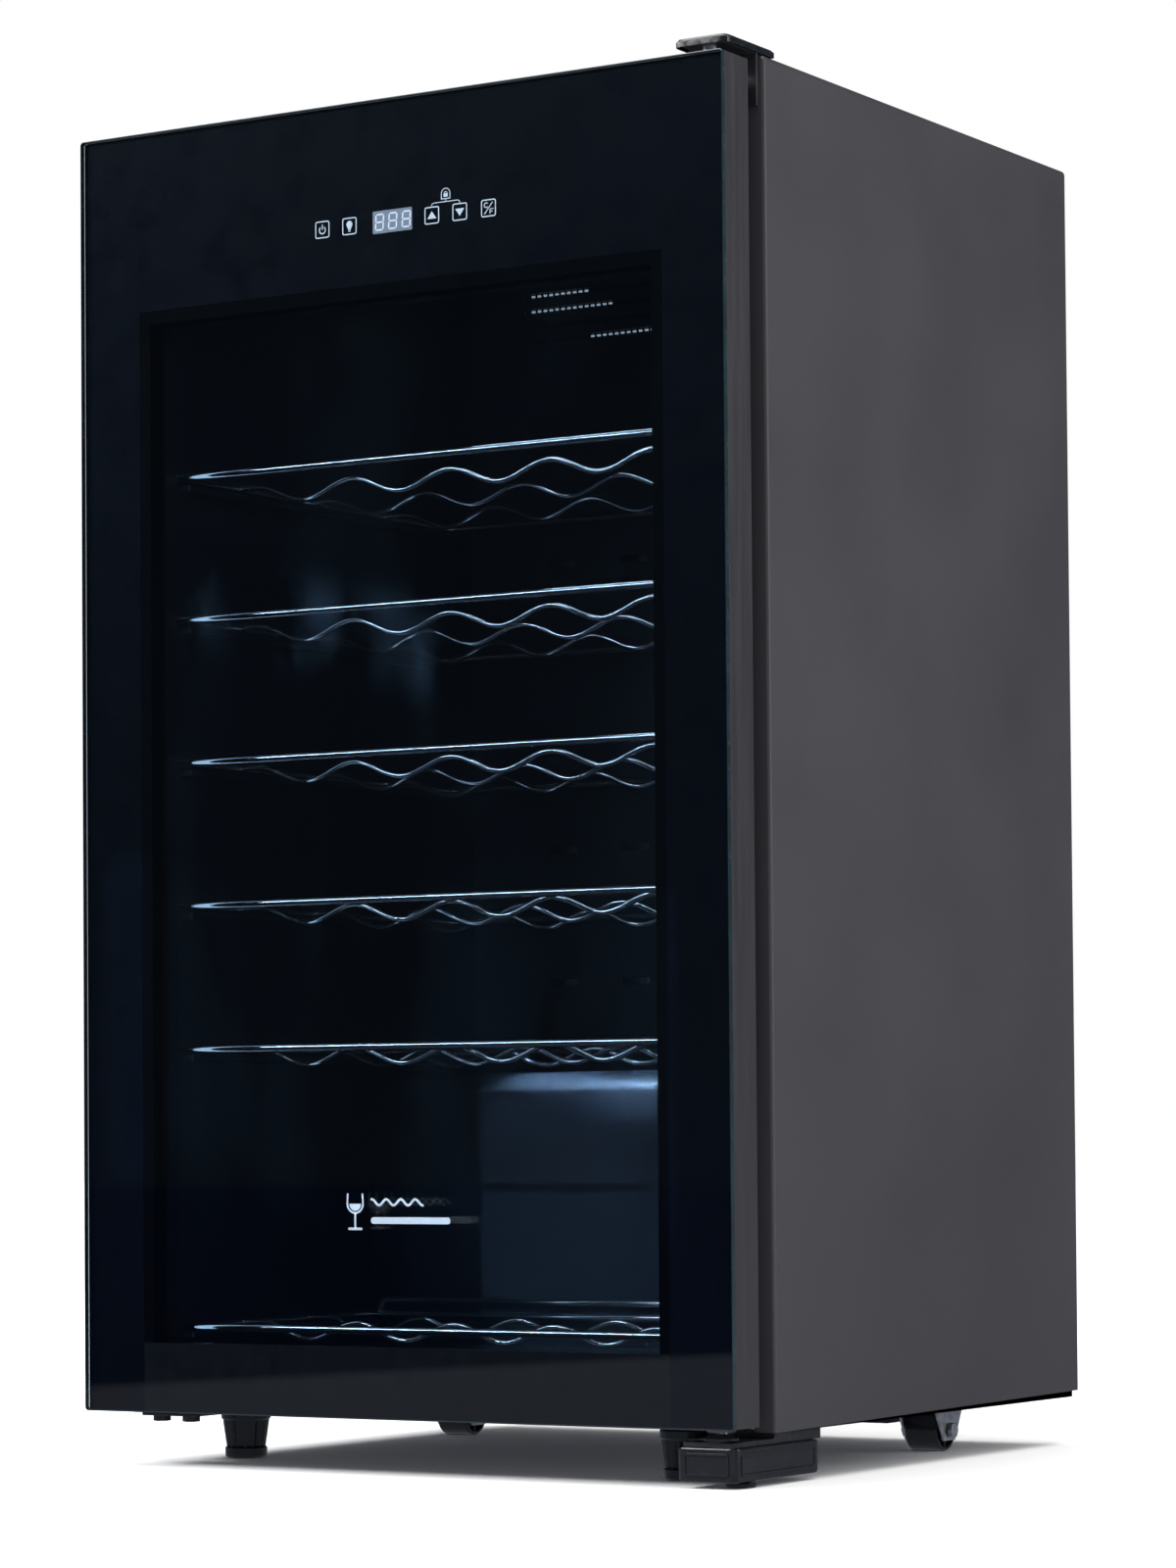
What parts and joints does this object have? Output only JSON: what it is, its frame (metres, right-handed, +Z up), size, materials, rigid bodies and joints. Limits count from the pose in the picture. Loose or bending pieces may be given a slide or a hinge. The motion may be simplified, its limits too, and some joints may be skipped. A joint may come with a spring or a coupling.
{
  "type": "wine cooler",
  "caption": "Free-standing compressor wine cooler with a hinged tinted glass door, touch display, sliding wavy wire shelves, levelling feet and rear rollers.",
  "frame": {"origin": "middle of the bounding box at floor level, under the feet", "axes": "+Z up, +X to the right seen from the front, +Y to the back; the door's glass is at the lowest Y"},
  "size_m": [0.49, 0.472, 0.8823],
  "materials": {
    "cabinet_paint": "satin",
    "liner_black": "gloss",
    "foam": "matte",
    "dark_steel": "satin",
    "zinc_steel": "satin",
    "black_plastic": "gloss",
    "grey_plastic": "satin",
    "front_glass": "gloss",
    "clear_glass": "gloss",
    "rubber": "matte",
    "black_enamel": "gloss",
    "aluminium": "satin",
    "copper": "polished",
    "chrome_wire": "polished",
    "circuit_board": "satin",
    "lamp_lens": "matte"
  },
  "bodies": {
    "cabinet": {"cabinet_shell": "cabinet_paint", "back_panel": "cabinet_paint", "inner_liner": "liner_black", "insulation": "foam", "base_plate": "dark_steel", "machine_bay_panel": "zinc_steel", "duct_panel": "liner_black", "evaporator_plate": "aluminium", "lamp_housing": "black_plastic", "lamp_lens": "lamp_lens", "circulation_fan_motor": "black_plastic", "top_hinge_plate": "dark_steel", "top_hinge_pin": "zinc_steel", "top_hinge_cover": "black_plastic", "bottom_hinge_bracket": "dark_steel", "bottom_hinge_pin": "zinc_steel", "hinge_washer": "black_plastic", "bottom_hinge_cover": "black_plastic", "spare_hinge_blank": "dark_steel", "compressor_base": "dark_steel", "compressor": "black_enamel", "compressor_grommet_1": "rubber", "compressor_grommet_2": "rubber", "compressor_grommet_3": "rubber", "compressor_grommet_4": "rubber", "start_relay_box": "black_plastic", "evaporating_tray": "grey_plastic", "condenser_coil": "black_enamel", "condenser_fan_shroud": "black_plastic", "filter_drier": "copper", "discharge_tube": "copper", "suction_tube": "copper", "rear_cover": "zinc_steel", "cord_inlet_bush": "rubber", "roller_bracket_left": "zinc_steel", "roller_bracket_right": "zinc_steel", "roller_axle_left": "zinc_steel", "roller_axle_right": "zinc_steel"},
    "door": {"door_outer_glass": "front_glass", "door_frame": "grey_plastic", "glazing_spacer": "aluminium", "door_inner_glass": "clear_glass", "door_gasket": "rubber", "control_board": "circuit_board", "display_module": "grey_plastic", "door_bush_top": "grey_plastic", "door_bush_bottom": "grey_plastic"},
    "circulation_fan": {"circulation_fan_rotor": "grey_plastic"},
    "condenser_fan": {"condenser_fan_rotor": "grey_plastic"},
    "foot_left": {"levelling_foot_left": "black_plastic"},
    "foot_right": {"levelling_foot_right": "black_plastic"},
    "foot_hinge": {"hinge_foot": "black_plastic"},
    "roller_left": {"roller_wheel_left": "black_plastic"},
    "roller_right": {"roller_wheel_right": "black_plastic"},
    "shelf_1": {"wire_shelf_1": "chrome_wire"},
    "shelf_2": {"wire_shelf_2": "chrome_wire"},
    "shelf_3": {"wire_shelf_3": "chrome_wire"},
    "shelf_4": {"wire_shelf_4": "chrome_wire"},
    "shelf_5": {"wire_shelf_5": "chrome_wire"},
    "shelf_6": {"wire_shelf_6": "chrome_wire"}
  },
  "joints": [
    {"name": "door_hinge", "type": "hinge", "parent": "cabinet", "child": "door", "pos_m": [0.226, -0.218, 0.452], "axis": [0, 0, 1], "range_deg": [0, 115]},
    {"name": "circulation_fan_spin", "type": "hinge", "parent": "cabinet", "child": "circulation_fan", "pos_m": [0, 0.17, 0.722], "axis": [0, 1, 0], "continuous": true},
    {"name": "condenser_fan_spin", "type": "hinge", "parent": "cabinet", "child": "condenser_fan", "pos_m": [-0.035, 0.157, 0.1], "axis": [1, 0, 0], "continuous": true},
    {"name": "foot_left_turn", "type": "hinge", "parent": "cabinet", "child": "foot_left", "pos_m": [-0.194, -0.127, 0.016], "axis": [0, 0, 1], "continuous": true},
    {"name": "foot_right_turn", "type": "hinge", "parent": "cabinet", "child": "foot_right", "pos_m": [0.171, -0.167, 0.016], "axis": [0, 0, 1], "continuous": true},
    {"name": "foot_hinge_turn", "type": "hinge", "parent": "cabinet", "child": "foot_hinge", "pos_m": [0.231, -0.204, 0.016], "axis": [0, 0, 1], "continuous": true},
    {"name": "roller_left_spin", "type": "hinge", "parent": "cabinet", "child": "roller_left", "pos_m": [-0.188, 0.126, 0.0142], "axis": [1, 0, 0], "continuous": true},
    {"name": "roller_right_spin", "type": "hinge", "parent": "cabinet", "child": "roller_right", "pos_m": [0.188, 0.126, 0.0142], "axis": [1, 0, 0], "continuous": true},
    {"name": "shelf_1_slide", "type": "slide", "parent": "cabinet", "child": "shelf_1", "axis": [0, -1, 0], "range_m": [0, 0.024]},
    {"name": "shelf_2_slide", "type": "slide", "parent": "cabinet", "child": "shelf_2", "axis": [0, -1, 0], "range_m": [0, 0.024]},
    {"name": "shelf_3_slide", "type": "slide", "parent": "cabinet", "child": "shelf_3", "axis": [0, -1, 0], "range_m": [0, 0.024]},
    {"name": "shelf_4_slide", "type": "slide", "parent": "cabinet", "child": "shelf_4", "axis": [0, -1, 0], "range_m": [0, 0.024]},
    {"name": "shelf_5_slide", "type": "slide", "parent": "cabinet", "child": "shelf_5", "axis": [0, -1, 0], "range_m": [0, 0.024]},
    {"name": "shelf_6_slide", "type": "slide", "parent": "cabinet", "child": "shelf_6", "axis": [0, -1, 0], "range_m": [0, 0.024]}
  ]
}
